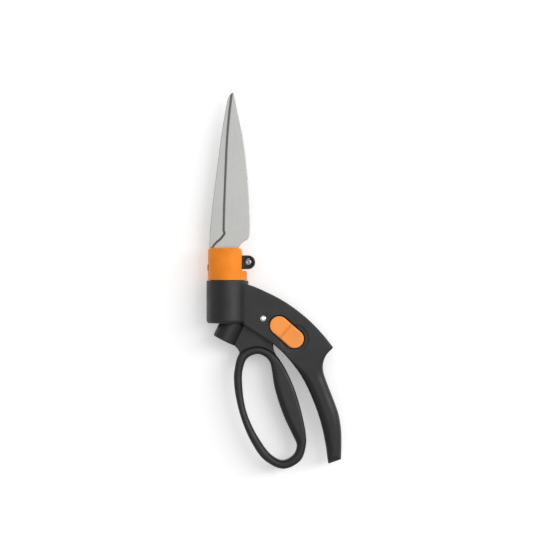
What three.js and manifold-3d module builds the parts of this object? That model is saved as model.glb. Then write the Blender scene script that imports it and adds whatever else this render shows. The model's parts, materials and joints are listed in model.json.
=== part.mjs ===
// Grass shears with a turning head.
//
// Everything is drawn in the frame of the shears themselves, in millimetres. X runs across, from the
// head axis towards the handle wing. Y runs along the head axis, towards the blade tips. Z points out of
// the face with the lock button. The origin is on the head axis, at the top of the barrel, in the plane
// where the two blades meet. The last lines lay the shears on their back, with the origin under the
// middle of their bounding box.
//
// Squeezing the lever swings its stub down. The stub pulls the rod down the head axis, and the rod's
// yoke pulls the tang of the moving blade, which turns about the pin beside the collar and closes. The
// spring in the head pushes the rod back up.

import * as THREE from 'three';
import { mergeVertices } from 'three/addons/utils/BufferGeometryUtils.js';
import Module from 'manifold-3d';

const wasm = await Module();
wasm.setup();

// ---------------------------------------------------------------- driving dimensions

const GAP = 0.3;
const SPLIT = GAP / 2;
const FAR = 400;
const THROUGH = [-50, 50];
const FRONT = [0, 50];
const REAR = [-50, 0];

const BARREL_RADIUS = 18.9;
const BARREL_LENGTH = 39;
const BORE_RADIUS = 16.7;
const WALL = 2.3;
const BARREL_ROUND = 3.6;
const WING_HALF = 12.4;
const WING_ROUND = 1.1;
const POCKET_HALF = WING_HALF - WALL;
const RIB = { radius: 14.7, top: -16.4, bottom: -18.1 };

const RIVET = [32.2, -33.9];
const RIVET_RADIUS = 2.2;
const LEVER_HUB_RADIUS = 8.6;
const LEVER_WEB_HALF = 4.6;
const LOOP_HALF = 6.6;
const BUSH = { radius: 4.2, half: POCKET_HALF - 0.5 };
const STUB = { foot: [-2.95, -54.15], radius: 11, length: 20, tilt: 26.2, top: -33.5, round: 0.8 };

const BALL = [0, -38.1];
const BALL_RADIUS = 4;
const BALL_PLAY = 0.45;
const ROD_RADIUS = 2.5;
const ROD_CLEAR = 0.9;
const ROD_TRAVEL = 8.43;

const COLLAR = { radius: 17.6, inner: 15.6, bottom: GAP, top: 29, flat: 13, ledge: 8.5, wall: 2 };
const CORE = { radius: 15.3, journal: 16.4, bore: 9.2, bottom: -22, floor: 2, top: 26.6, side: 10.7 };
const SEAL = { height: -6.1, radius: 15.6, wire: 0.7, groove: { radius: 14.6, half: 1.3 } };
const LATCH = { left: -18.3, bottom: 8.5, top: 14.8, half: 3.3 };
const SLOT_HALF = 2.9;
const SLOT_FLOOR = 1.4;
const CHANNEL = { halfWidth: 6.4, half: 6.6, top: 25.6 };

const PIN = [18.7, 16.4];
const PIN_RADIUS = 3.05;
const PIN_GROOVE = { radius: 2.55, from: -7.1, to: -6.3 };
const EAR = { radius: 6.2, root: 9, inner: 3.1, outer: 8, counterbore: 4.5, depth: 1.6 };
const BLADE = { near: 0.15, far: 2.6 };
const BLADE_EAR_RADIUS = 5.4;
const TANG_LOBE_RADIUS = 4.2;
const DRIVE_PIN = [0.2, 12.2];
const DRIVE_PIN_RADIUS = 1.9;
const DRIVE_PIN_PLAY = 0.6;
const DRIVE_PIN_HALF = 5.8;
const YOKE = { bottom: -11.2, top: -7.4, radius: 8.5, halfWidth: 4.6, near: 3.2, far: 6 };

const SPRING = { bottom: -18, top: -12.1, radius: 6.7, wire: 0.6, turns: 4 };

const BUTTON_ENDS = [[46.4, -40.1], [60.1, -52]];
const BUTTON_RADIUS = 8.3;
const BUTTON_TOP = WING_HALF + 3.2;
const BUTTON_RIDGE = { halfWidth: 1.6, halfLength: 7.4, height: 1.2 };
const BUTTON_DISH = { radius: 12.5, depth: 0.5 };
const STEM = { halfLength: 2.7, halfWidth: 1.9, clear: 0.4 };
const SLIDER = { halfLength: 7, radius: 4.6, bottom: POCKET_HALF - GAP - 2.8, top: POCKET_HALF - GAP };
const TONGUE = { tip: -14.8, halfWidth: 2.2 };
const LOCK_TRAVEL = 5.5;

// Where each screw goes, and how far the rear face is from the middle plane there.
const SCREWS = [
  { at: [25.5, -14], face: WING_HALF },
  { at: [61, -34], face: WING_HALF },
  { at: [79, -57], face: WING_HALF },
  { at: [82.5, -99], face: 10.9 },
  { at: [95.4, -149], face: 8.7 },
];
const POST_RADIUS = 3.6;
const SCREW_HEAD = { radius: 2.7, top: 0.8, seat: 2.6 };
const SCREW_CROSS = { reach: 1.6, half: 0.35, depth: 0.9 };
const SCREW_RADIUS = 1.05;
const SCREW_TIP = 7.2;

const BLADE_RIVETS = [[-9.6, 22.5], [-8.6, 9]];
const BLADE_RIVET_RADIUS = 1.7;

// ---------------------------------------------------------------- outlines

const vector = ([x, y]) => new THREE.Vector2(x, y);
const corners = (...points) => points.map(vector);
const smooth = (steps, ...points) => new THREE.SplineCurve(points.map(vector)).getPoints(steps);
const radians = (degrees) => THREE.MathUtils.degToRad(degrees);

function arc([x, y], radius, from, to, steps) {
  const turn = (i) => radians(from + ((to - from) * i) / steps);
  const point = (angle) => new THREE.Vector2(x + radius * Math.cos(angle), y + radius * Math.sin(angle));
  return Array.from({ length: steps + 1 }, (_, i) => point(turn(i)));
}

function circle(centre, radius, steps = 20) {
  return arc(centre, radius, 0, 360, steps).slice(0, steps);
}

/** The outline of a slot with round ends, from one centre to the other. */
function slotOutline([x0, y0], [x1, y1], radius, steps = 8) {
  const heading = THREE.MathUtils.radToDeg(Math.atan2(y1 - y0, x1 - x0));
  const first = arc([x0, y0], radius, heading + 90, heading + 270, steps);
  return [...first, ...arc([x1, y1], radius, heading - 90, heading + 90, steps)];
}

// ---------------------------------------------------------------- solids

/** Makes a closed three.js geometry into a solid that can be joined and cut. */
function solid(geometry) {
  const bare = geometry.clone();
  bare.deleteAttribute('normal');
  bare.deleteAttribute('uv');
  const merged = mergeVertices(bare, 1e-4);
  const triangles = [];
  for (let i = 0; i < merged.index.count; i += 3) {
    const [a, b, c] = [0, 1, 2].map((k) => merged.index.getX(i + k));
    if (a !== b && b !== c && c !== a) triangles.push(a, b, c);
  }
  const vertProperties = new Float32Array(merged.attributes.position.array);
  const triVerts = new Uint32Array(triangles);
  return new wasm.Manifold(new wasm.Mesh({ numProp: 3, vertProperties, triVerts }));
}

const join = (first, ...others) => others.reduce((whole, other) => whole.add(other), first);
const cut = (first, ...tools) => tools.reduce((rest, tool) => rest.subtract(tool), first);

function block([x0, x1], [y0, y1], [z0, z1]) {
  const geometry = new THREE.BoxGeometry(x1 - x0, y1 - y0, z1 - z0);
  return solid(geometry.translate((x0 + x1) / 2, (y0 + y1) / 2, (z0 + z1) / 2));
}

/** A flat plate of this outline between two depths, with its rims rounded by as much as round says. */
function plate(outline, [back, front], { holes = [], round = 0 } = {}) {
  const shape = new THREE.Shape(outline);
  shape.holes = holes.map((hole) => new THREE.Path(hole));
  const geometry = new THREE.ExtrudeGeometry(shape, {
    depth: front - back - 2 * round,
    bevelEnabled: round > 0,
    bevelThickness: round,
    bevelSize: round,
    bevelOffset: -round,
    bevelSegments: 2,
  });
  return solid(geometry.translate(0, 0, back + round));
}

/** A round bar along Z. */
function pinAlong([x, y], radius, [back, front], sides = 20) {
  const geometry = new THREE.CylinderGeometry(radius, radius, front - back, sides);
  return solid(geometry.rotateX(Math.PI / 2).translate(x, y, (back + front) / 2));
}

/** A solid turned about the head axis, from a closed or axis-to-axis profile of radius and height. */
function turned(profile, sides = 32) {
  const points = profile.map((point) => (Array.isArray(point) ? vector(point) : point));
  return solid(new THREE.LatheGeometry(points, sides));
}

/** A round bar about the head axis. */
function drum(radius, [bottom, top], sides = 32) {
  return turned([[0, bottom], [radius, bottom], [radius, top], [0, top]], sides);
}

/** A ring about the head axis with a rectangular section. */
function ring(inner, outer, [bottom, top], sides = 32) {
  return turned([[inner, bottom], [outer, bottom], [outer, top], [inner, top], [inner, bottom]], sides);
}

function ball([x, y], radius) {
  return solid(new THREE.SphereGeometry(radius, 16, 10).translate(x, y, 0));
}

/**
 * A rounded bar that fills the space between two edge curves. Each section is a superellipse from one
 * edge to the other, and the bar closes on itself where closed is true.
 */
function barBetween(left, right, halfThickness, options) {
  const { steps, sides = 16, closed = false, inset = 0, until = 1 } = options;
  const positions = [];
  const index = [];
  const rows = closed ? steps : steps + 1;
  const squareness = 2.5;
  const squared = (value) => Math.sign(value) * Math.abs(value) ** (2 / squareness);
  for (let row = 0; row < rows; row++) {
    const share = (until * row) / steps;
    const a = left.getPoint(share);
    const b = right.getPoint(share);
    const middle = a.clone().add(b).multiplyScalar(0.5);
    const across = b.clone().sub(a).multiplyScalar(0.5);
    across.setLength(across.length() - inset);
    const half = halfThickness(share) - inset;
    for (let side = 0; side < sides; side++) {
      const angle = (2 * Math.PI * side) / sides;
      const reach = squared(Math.cos(angle));
      const height = half * squared(Math.sin(angle));
      positions.push(middle.x + across.x * reach, middle.y + across.y * reach, height);
    }
  }
  const at = (row, side) => (row % rows) * sides + (side % sides);
  for (let row = 0; row < (closed ? rows : rows - 1); row++) {
    for (let side = 0; side < sides; side++) {
      index.push(at(row, side), at(row + 1, side), at(row, side + 1));
      index.push(at(row, side + 1), at(row + 1, side), at(row + 1, side + 1));
    }
  }
  for (let side = 1; side < sides - 1 && !closed; side++) {
    index.push(at(0, 0), at(0, side), at(0, side + 1));
    index.push(at(rows - 1, 0), at(rows - 1, side + 1), at(rows - 1, side));
  }
  const geometry = new THREE.BufferGeometry();
  geometry.setAttribute('position', new THREE.Float32BufferAttribute(positions, 3));
  geometry.setIndex(facingOut(positions, index));
  return solid(geometry);
}

/** Turns every triangle round where they enclose a negative volume. */
function facingOut(positions, index) {
  const corner = (i) => new THREE.Vector3().fromArray(positions, 3 * index[i]);
  let volume = 0;
  for (let i = 0; i < index.length; i += 3) {
    volume += corner(i).dot(corner(i + 1).cross(corner(i + 2)));
  }
  return volume > 0 ? index : [...index].reverse();
}

function edge(points, closed = false) {
  const places = points.map(([x, y]) => new THREE.Vector3(x, y, 0));
  return new THREE.CatmullRomCurve3(places, closed, 'centripetal');
}

/** The value at a share of the way along a list of evenly spaced values. */
function along(values, share) {
  const place = share * (values.length - 1);
  const first = Math.min(Math.floor(place), values.length - 2);
  return THREE.MathUtils.lerp(values[first], values[first + 1], place - first);
}

const frontHalf = block([-FAR, FAR], [-FAR, FAR], [SPLIT, FAR]);
const rearHalf = block([-FAR, FAR], [-FAR, FAR], [-FAR, -SPLIT]);

// ---------------------------------------------------------------- materials and nodes

const finish = (color, roughness, metalness = 0) => () => {
  return new THREE.MeshStandardMaterial({ color, roughness, metalness });
};
const darkPlastic = finish(0x39393a, 0.55);
const blackPlastic = finish(0x1c1c1d, 0.5);
const orangePlastic = finish(0xf0741a, 0.45);
const whitePlastic = finish(0xd8d8d2, 0.5);
const bladeSteel = finish(0xcdcfcb, 0.32, 1);
const brightSteel = finish(0xe2e2e2, 0.2, 1);
const springSteel = finish(0x9a9ca0, 0.35, 1);
const blackRubber = finish(0x151515, 0.9);

/** One named piece, from a solid drawn about this place. */
function piece(name, shape, material, [x, y] = [0, 0]) {
  const { vertProperties, triVerts, numProp } = shape.getMesh();
  const positions = [];
  for (let i = 0; i < vertProperties.length; i += numProp) {
    positions.push(vertProperties[i], vertProperties[i + 1], vertProperties[i + 2]);
  }
  const geometry = new THREE.BufferGeometry();
  geometry.setAttribute('position', new THREE.Float32BufferAttribute(positions, 3));
  geometry.setIndex([...triVerts]);
  geometry.computeVertexNormals();
  const mesh = new THREE.Mesh(geometry, material());
  mesh.name = name;
  mesh.position.set(x, y, 0);
  return mesh;
}

function assembly(...pieces) {
  const group = new THREE.Group();
  group.add(...pieces);
  return group;
}

// ---------------------------------------------------------------- handle shells

const wingOutline = [
  ...corners([8, -3.6]),
  ...smooth(12, [18.6, -3.8], [32, -9], [52.6, -19.8], [71.7, -34.2], [85.9, -48.6], [94.7, -59.6]),
  ...smooth(5, [94.2, -60.6], [88.8, -66.6], [86, -73.8], [85.9, -79]),
  ...corners([76, -83]),
  ...smooth(6, [64.2, -82.5], [51.7, -66.6], [40.7, -56.3]),
  ...corners([14.4, -39.2], [8, -38.6]),
];

// The hollow of the wing. It runs out through the lower left edge, where the lever comes out between
// the shells.
const pocketOutline = corners(
  [8, -6.5], [20, -7.2], [32, -12], [52.6, -23], [70, -36.3], [83, -50.3], [89, -58.6], [84.6, -66],
  [83, -76], [74, -80], [64.5, -78.5], [53.8, -64.9], [45.6, -57.5], [43, -60.5], [8, -41.5],
);

const gripInner = edge([
  [56.5, -72], [63.3, -81], [69.7, -91.8], [76.3, -106.2], [81.7, -120.6],
  [85.7, -135], [88.5, -149.4], [90, -160.5], [92.5, -165.3],
]);
const gripOuter = edge([
  [86.3, -72], [86, -81], [89.4, -91.8], [95, -106.2], [100, -120.6],
  [102.2, -135], [102.4, -149.4], [101.9, -160.5], [98, -165],
]);
const gripHalf = (share) => along([12.1, 11.9, 11.4, 10.8, 10.2, 9.5, 8.8, 7.6, 4], share);

function handleBody() {
  const roundCentre = [BARREL_RADIUS - BARREL_ROUND, BARREL_ROUND - BARREL_LENGTH];
  const round = arc(roundCentre, BARREL_ROUND, -90, 0, 4);
  const rim = [[BARREL_RADIUS, -0.6], [BARREL_RADIUS - 0.6, 0], [0, 0]];
  const barrel = turned([[0, -BARREL_LENGTH], ...round, ...rim]);
  const wing = plate(wingOutline, [-WING_HALF, WING_HALF], { round: WING_ROUND });
  const grip = barBetween(gripInner, gripOuter, gripHalf, { steps: 16 });
  return join(barrel, wing, grip);
}

function handleHollow() {
  const bore = drum(BORE_RADIUS, [-BARREL_LENGTH - 5, 5]);
  const pocket = plate(pocketOutline, [-POCKET_HALF, POCKET_HALF]);
  const inside = { steps: 10, sides: 12, inset: WALL, until: 0.9 };
  return join(bore, pocket, barBetween(gripInner, gripOuter, gripHalf, inside));
}

const handleWalls = cut(handleBody(), handleHollow());
const rib = ring(RIB.radius, BORE_RADIUS + 0.5, [RIB.bottom, RIB.top]);

const buttonMiddle = vector(BUTTON_ENDS[0]).lerp(vector(BUTTON_ENDS[1]), 0.5);
const buttonReach = vector(BUTTON_ENDS[1]).sub(buttonMiddle);

/** Places a cutting tool drawn about the button's middle, with X along its slide. */
function onButton(tool) {
  const heading = THREE.MathUtils.radToDeg(buttonReach.angle());
  return tool.rotate([0, 0, heading]).translate([buttonMiddle.x, buttonMiddle.y, 0]);
}

function frontShell() {
  const posts = SCREWS.map(({ at, face }) => pinAlong(at, POST_RADIUS, [SPLIT, face - 1]));
  const screwHoles = SCREWS.map(({ at }) => pinAlong(at, SCREW_RADIUS + GAP, [0, SCREW_TIP + GAP], 16));
  const rivetHole = pinAlong(RIVET, RIVET_RADIUS + GAP, FRONT);
  const dish = pinAlong(BUTTON_ENDS[1], BUTTON_DISH.radius, [WING_HALF - BUTTON_DISH.depth, 50], 32);
  const stemSlot = onButton(block(
    [-STEM.halfLength - STEM.clear, STEM.halfLength + LOCK_TRAVEL + STEM.clear],
    [-STEM.halfWidth - STEM.clear, STEM.halfWidth + STEM.clear],
    FRONT,
  ));
  const half = join(handleWalls, rib).intersect(frontHalf);
  return cut(join(half, ...posts), ...screwHoles, rivetHole, dish, stemSlot);
}

function rearShell() {
  const posts = SCREWS.map(({ at, face }) => pinAlong(at, POST_RADIUS, [1 - face, -SPLIT]));
  const screwHoles = SCREWS.map(({ at }) => pinAlong(at, SCREW_RADIUS + GAP, REAR, 16));
  const seats = SCREWS.map(({ at, face }) => {
    return pinAlong(at, SCREW_HEAD.radius + GAP, [REAR[0], SCREW_HEAD.seat - face]);
  });
  const rivetHole = pinAlong(RIVET, RIVET_RADIUS + GAP, REAR);
  const half = join(handleWalls, rib).intersect(rearHalf);
  return cut(join(half, ...posts), ...screwHoles, ...seats, rivetHole);
}

/** A screw along Z, with its head sunk in a rear face this far from the middle plane. */
function shellScrew(face) {
  const under = SCREW_HEAD.seat - face - GAP;
  const outside = SCREW_HEAD.top - face;
  const head = pinAlong([0, 0], SCREW_HEAD.radius, [outside, under]);
  const shank = pinAlong([0, 0], SCREW_RADIUS, [under - 0.2, SCREW_TIP], 12);
  const { reach, half, depth } = SCREW_CROSS;
  const cross = [[reach, half], [half, reach]].map(([x, y]) => {
    return block([-x, x], [-y, y], [outside - 1, outside + depth]);
  });
  return cut(join(head, shank), ...cross);
}

/** The silver rivet that the lever turns on, with a domed head at each end. */
function pivotRivet() {
  const headRadius = 2.9;
  const washer = 1;
  const under = WING_HALF + GAP;
  const shank = pinAlong([0, 0], RIVET_RADIUS, [-under - washer - 0.2, under + 0.2]);
  const dome = [[0, 0], [headRadius, 0], [headRadius, 0.5], [headRadius - 0.7, 1.2], [0, 1.5]];
  const frontHead = turned(dome, 24).rotate([90, 0, 0]).translate([0, 0, under]);
  const rearHead = turned(dome, 24).rotate([-90, 0, 0]).translate([0, 0, -under - washer]);
  return join(shank, frontHead, rearHead);
}

function rivetWasher() {
  const disc = pinAlong([0, 0], 4.6, [-WING_HALF - 0.9, -WING_HALF - GAP]);
  return cut(disc, pinAlong([0, 0], RIVET_RADIUS + GAP, REAR));
}

// ---------------------------------------------------------------- lever

const loopOpening = edge([
  [26.8, -66.1], [17.7, -70.2], [13.6, -81], [13.3, -95], [15.8, -113.4], [20.6, -127.8],
  [28.2, -142.2], [39.1, -156.6], [49.7, -161.7], [59.3, -156.6], [62.2, -148], [58.3, -138.6],
  [51.5, -124.2], [46.2, -109.8], [42.2, -95.4], [39.9, -81], [38.3, -73.8], [34.2, -68.8],
], true);
const loopOutside = edge([
  [26, -58.8], [11.3, -65], [6.2, -81], [6.1, -94.5], [9.4, -113.4], [14.3, -129.4],
  [21.6, -145.4], [32.8, -161], [50.4, -169.2], [65.8, -161.6], [70.6, -147.5], [70.3, -136.6],
  [67.3, -121.4], [63.4, -106.8], [58.3, -92.6], [51, -77.6], [44.4, -68], [37.4, -61.8],
], true);

const webOutline = [
  ...corners([1, -37]),
  ...arc(RIVET, LEVER_HUB_RADIUS, 140, -10, 10),
  ...corners([41.9, -44]),
  ...smooth(4, [41.2, -57.6], [41.8, -63], [43.6, -66.8]),
  ...smooth(8, [41, -68], [35, -64.6], [26.5, -62.4], [18.5, -65.4], [12.8, -69.8]),
  ...smooth(4, [10.2, -69], [10.9, -66.2], [10, -62.6], [6.9, -59]),
  ...corners([-2, -50]),
];

/** The stub that reaches into the barrel, with its foot at its lower end. */
function stub() {
  const { foot, radius, length, tilt, top, round } = STUB;
  const side = [[radius - round, 0], [radius, round], [radius, length]];
  const shape = turned([[0, 0], ...side, [0, length]], 28);
  const placed = shape.rotate([0, 0, -tilt]).translate([foot[0], foot[1], 0]);
  return placed.intersect(block([-FAR, FAR], [-FAR, top], [-FAR, FAR]));
}

const KEEPER = { left: -6, right: 5.2, bottom: -35.8, top: -34, half: 6.8 };

function lever() {
  const hub = pinAlong(RIVET, LEVER_HUB_RADIUS, [GAP - POCKET_HALF, POCKET_HALF - GAP], 24);
  const web = plate(webOutline, [-LEVER_WEB_HALF, LEVER_WEB_HALF]);
  const around = { steps: 40, closed: true, sides: 12 };
  const loop = barBetween(loopOpening, loopOutside, () => LOOP_HALF, around);
  const bushHole = pinAlong(RIVET, BUSH.radius + GAP, THROUGH);
  const mouth = STUB.top + 1;
  const socketRadius = BALL_RADIUS + BALL_PLAY;
  const socket = join(ball(BALL, socketRadius), drum(socketRadius, [BALL[1], mouth], 24));
  const keeperHalf = KEEPER.half + GAP;
  const keeperSeat = block(
    [-STUB.radius * 2, KEEPER.right + GAP],
    [KEEPER.bottom - GAP, mouth],
    [-keeperHalf, keeperHalf],
  );
  const notchHalf = TONGUE.halfWidth + 0.6;
  const notchDepths = [SLIDER.bottom - 0.4, FRONT[1]];
  const lockNotch = onButton(block([-24, TONGUE.tip + 0.6], [-notchHalf, notchHalf], notchDepths));
  return cut(join(web, hub, stub(), loop), bushHole, socket, keeperSeat, lockNotch);
}

function leverBush() {
  const outside = pinAlong([0, 0], BUSH.radius, [-BUSH.half, BUSH.half]);
  return cut(outside, pinAlong([0, 0], RIVET_RADIUS + GAP, THROUGH));
}

/** The forked plate that holds the rod's ball in the stub. Its slot is open where the rod leans. */
function ballKeeper() {
  const { left, right, bottom, top, half } = KEEPER;
  const fork = block([left, right], [bottom, top], [-half, half]);
  const slotHalf = ROD_RADIUS + 0.4;
  const rodSlot = block([left - 5, ROD_RADIUS + 0.6], [bottom - 1, top + 1], [-slotHalf, slotHalf]);
  return cut(fork, rodSlot, ball(BALL, BALL_RADIUS + BALL_PLAY));
}

// ---------------------------------------------------------------- lock

// These three pieces are drawn about the button's middle, with X along its slide.

function lockButton() {
  const reach = buttonReach.length();
  const under = WING_HALF + GAP;
  const capOutline = slotOutline([-reach, 0], [reach, 0], BUTTON_RADIUS);
  const cap = plate(capOutline, [under, BUTTON_TOP], { round: 1.2 });
  const { halfWidth, halfLength, height } = BUTTON_RIDGE;
  const ridgeOutline = corners(
    [-halfWidth, -halfLength], [halfWidth, -halfLength], [halfWidth, halfLength], [-halfWidth, halfLength],
  );
  const ridge = plate(ridgeOutline, [under + 0.7, BUTTON_TOP + height], { round: 0.7 });
  const stem = block(
    [-STEM.halfLength, STEM.halfLength],
    [-STEM.halfWidth, STEM.halfWidth],
    [SLIDER.bottom, under + 1],
  );
  return join(cap, ridge, stem);
}

/** The plate inside the front shell that carries the latch tongue towards the lever's hub. */
function lockSlider() {
  const { halfLength, radius, bottom, top } = SLIDER;
  const slide = plate(slotOutline([-halfLength, 0], [halfLength, 0], radius, 6), [bottom, top]);
  const { tip, halfWidth } = TONGUE;
  const tongue = block([tip, -halfLength], [-halfWidth, halfWidth], [bottom, top - 0.4]);
  const [x, y] = [STEM.halfLength + GAP, STEM.halfWidth + GAP];
  return cut(join(slide, tongue), block([-x, x], [-y, y], FRONT));
}

/** A bowed leaf beside the slider, which clicks it into each end of its travel. */
function detentSpring() {
  const thickness = 0.5;
  const bow = smooth(8, [-10, 6.6], [-5, 5.9], [0, 5.3], [5, 5.9], [10, 6.6]);
  const back = bow.map(({ x, y }) => new THREE.Vector2(x, y + thickness)).reverse();
  return plate([...bow, ...back], [SLIDER.bottom + 0.2, SLIDER.top - 0.2]);
}

// ---------------------------------------------------------------- head

/** The collar: a cup with one flat side, open below, with slots for the blades, the ears and the latch. */
function headCollar() {
  const { radius, inner, bottom, top, flat, ledge, wall } = COLLAR;
  const round = 1.6;
  const rim = arc([radius - round, top - round], round, 0, 90, 4);
  const outside = cut(
    turned([[0, bottom], [radius - 0.5, bottom], [radius, bottom + 0.5], ...rim, [0, top]]),
    block([flat, FAR], [ledge, FAR], [-FAR, FAR]),
  );
  const hollow = cut(
    drum(inner, [bottom - 5, top - wall]),
    block([flat - wall, FAR], [ledge - wall, FAR], [-FAR, FAR]),
  );
  const slotHalf = SLOT_HALF + 0.2;
  const bladeSlot = block([GAP - inner, FAR], [22, FAR], [-slotHalf, slotHalf]);
  const earReach = EAR.radius + GAP;
  const earHalf = EAR.outer + 0.4;
  const earHeights = [PIN[1] - earReach, PIN[1] + earReach];
  const earWindow = block([flat - wall - 1, FAR], earHeights, [-earHalf, earHalf]);
  const latchHalf = LATCH.half + GAP;
  const latchWindow = block([-FAR, -12], [LATCH.bottom - GAP, LATCH.top + GAP], [-latchHalf, latchHalf]);
  return cut(outside, hollow, bladeSlot, earWindow, latchWindow);
}

/**
 * The core: a journal in the barrel with a groove for the rib, two cheeks for the blades inside the
 * collar, the ears of the blade pin, and the latch that snaps into the collar's window.
 */
function headCore() {
  const { radius, journal, bore, bottom, floor, top, side } = CORE;
  const { groove } = SEAL;
  const ribGroove = [
    [journal, RIB.bottom - GAP], [RIB.radius - GAP, RIB.bottom - GAP],
    [RIB.radius - GAP, RIB.top + GAP], [journal, RIB.top + GAP],
  ];
  const sealGroove = [
    [journal, SEAL.height - groove.half], [groove.radius, SEAL.height - groove.half],
    [groove.radius, SEAL.height + groove.half], [journal, SEAL.height + groove.half],
  ];
  const outside = turned([
    [0, bottom], [journal - 0.6, bottom], [journal, bottom + 0.6],
    ...ribGroove, ...sealGroove, [journal, 0], [radius, 0], [radius, top], [0, top],
  ]);
  const shoulder = block([side, FAR], [COLLAR.ledge - COLLAR.wall - GAP, FAR], [-FAR, FAR]);
  const springBore = drum(bore, [bottom + floor, SLOT_FLOOR + 1]);
  const rodHole = drum(ROD_RADIUS + ROD_CLEAR, [bottom - 1, 0], 24);
  const channel = block(
    [-CHANNEL.halfWidth, CHANNEL.halfWidth],
    [SLOT_FLOOR, CHANNEL.top],
    [-CHANNEL.half, CHANNEL.half],
  );
  const earOutline = [
    ...corners([EAR.root, PIN[1] - EAR.radius]),
    ...arc(PIN, EAR.radius, -90, 90, 12),
    ...corners([EAR.root, PIN[1] + EAR.radius]),
  ];
  const earDepths = [[-EAR.outer, -EAR.inner], [EAR.inner, EAR.outer]];
  const ears = earDepths.map((depths) => plate(earOutline, depths));
  const seat = EAR.outer - EAR.depth;
  const counterbores = [[REAR[0], -seat], [seat, FRONT[1]]].map((depths) => {
    return pinAlong(PIN, EAR.counterbore, depths);
  });
  const bladeSlots = [
    block([-12.6, FAR], [SLOT_FLOOR, FAR], [-SLOT_HALF, SLOT_HALF]),
    block([-FAR, FAR], [20.2, FAR], [-SLOT_HALF, SLOT_HALF]),
  ];
  const latch = block([LATCH.left, 1 - radius], [LATCH.bottom, LATCH.top], [-LATCH.half, LATCH.half]);
  const rivetHoles = BLADE_RIVETS.map((at) => pinAlong(at, BLADE_RIVET_RADIUS + GAP, REAR, 16));
  const cheeks = cut(outside, shoulder, springBore, rodHole, channel);
  const pinHole = pinAlong(PIN, PIN_RADIUS + GAP, THROUGH);
  return cut(join(cheeks, latch, ...ears), pinHole, ...counterbores, ...bladeSlots, ...rivetHoles);
}

/** The pin that the moving blade turns on, drawn about its own axis. */
function bladePin() {
  const { radius, from, to } = PIN_GROOVE;
  const shank = pinAlong([0, 0], PIN_RADIUS, [from - 0.3, EAR.outer - 1]);
  return cut(shank, cut(pinAlong([0, 0], PIN_RADIUS + 1, [from, to]), pinAlong([0, 0], radius, REAR)));
}

/** The spring clip in the pin's groove, behind the rear ear. */
function pinClip() {
  const disc = pinAlong([0, 0], 4.1, [PIN_GROOVE.from + 0.1, PIN_GROOVE.to - 0.1]);
  const mouth = block([-1.2, 1.2], [0, 8], REAR);
  return cut(disc, pinAlong([0, 0], PIN_GROOVE.radius + GAP, REAR), mouth);
}

const fixedBladeOutline = [
  ...smooth(
    12, [3.7, 168.8], [1, 165.4], [-2.2, 150.8], [-5, 133.9],
    [-7, 119.3], [-14.9, 54.7], [-15.8, 42.1], [-16.4, 31.5],
  ),
  ...corners([-16.4, 29.5], [-14.7, 29.5], [-13.8, 24], [-12.2, 20.6], [-12.2, 7], [-8, 2.6]),
  ...corners([5, 2.6], [9.6, 10.6]),
  ...arc(PIN, BLADE_EAR_RADIUS, -115, 95, 12),
  ...corners([13, 22.5], [9.6, 26.5]),
  ...smooth(8, [9.2, 36], [9.3, 60], [9.6, 85], [9.2, 112], [7.2, 140], [5.2, 160], [4.6, 168]),
];

const movingBladeOutline = [
  ...smooth(
    12, [5.9, 168.2], [9.2, 150.8], [14.4, 125.6], [17.9, 95.6], [19.4, 72.6], [20, 54.1], [19.9, 42],
  ),
  ...smooth(5, [19, 38.2], [17.4, 36.6], [14.9, 35.3], [12.2, 32.9], [10.4, 30.2]),
  ...corners([10, 26.5], [13, 22.5]),
  ...arc(PIN, BLADE_EAR_RADIUS, 95, -115, 12),
  ...arc(DRIVE_PIN, TANG_LOBE_RADIUS, -80, -190, 6),
  ...corners([-8, 19], [-13.6, 24.4]),
  ...smooth(8, [-14.9, 28.8], [-13.6, 31.6], [-10.8, 34.8], [-7.1, 38], [-3.7, 42.4]),
  ...smooth(10, [-4.5, 45], [-4.1, 63.3], [-2.4, 106.7], [-1.5, 125.6], [0.6, 150.8], [2.6, 167.2]),
  ...corners([4.6, 168.9]),
];

function fixedBlade() {
  const [pinX, pinY] = DRIVE_PIN;
  const slotX = pinX - 0.24;
  const slotRadius = DRIVE_PIN_RADIUS + DRIVE_PIN_PLAY;
  const drivePinSlot = slotOutline([slotX, pinY], [slotX, pinY + ROD_TRAVEL], slotRadius);
  const rivetHoles = BLADE_RIVETS.map((at) => circle(at, BLADE_RIVET_RADIUS + GAP, 16));
  const holes = [circle(PIN, PIN_RADIUS + GAP), drivePinSlot, ...rivetHoles];
  return plate(fixedBladeOutline, [-BLADE.far, -BLADE.near], { holes });
}

function bladeRivet() {
  return pinAlong([0, 0], BLADE_RIVET_RADIUS, [-10, -0.4], 16);
}

function headSealRing() {
  const section = arc([SEAL.radius, SEAL.height], SEAL.wire, 0, 360, 6);
  section[section.length - 1].copy(section[0]);
  return turned(section, 24);
}

function springSeat() {
  const seat = CORE.bottom + CORE.floor;
  return ring(ROD_RADIUS + ROD_CLEAR, CORE.bore - GAP, [seat + GAP, seat + 1.1]);
}

class Helix extends THREE.Curve {
  getPoint(share, target = new THREE.Vector3()) {
    const angle = 2 * Math.PI * SPRING.turns * share;
    const height = THREE.MathUtils.lerp(SPRING.bottom, SPRING.top, share);
    return target.set(SPRING.radius * Math.cos(angle), height, SPRING.radius * Math.sin(angle));
  }
}

function returnSpring() {
  const wire = new THREE.Shape(circle([0, 0], SPRING.wire, 5));
  return solid(new THREE.ExtrudeGeometry(wire, { steps: SPRING.turns * 14, extrudePath: new Helix() }));
}

// ---------------------------------------------------------------- moving blade

function movingBlade() {
  const holes = [circle(PIN, PIN_RADIUS + GAP), circle(DRIVE_PIN, DRIVE_PIN_RADIUS + GAP)];
  return plate(movingBladeOutline, [BLADE.near, BLADE.far], { holes });
}

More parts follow.
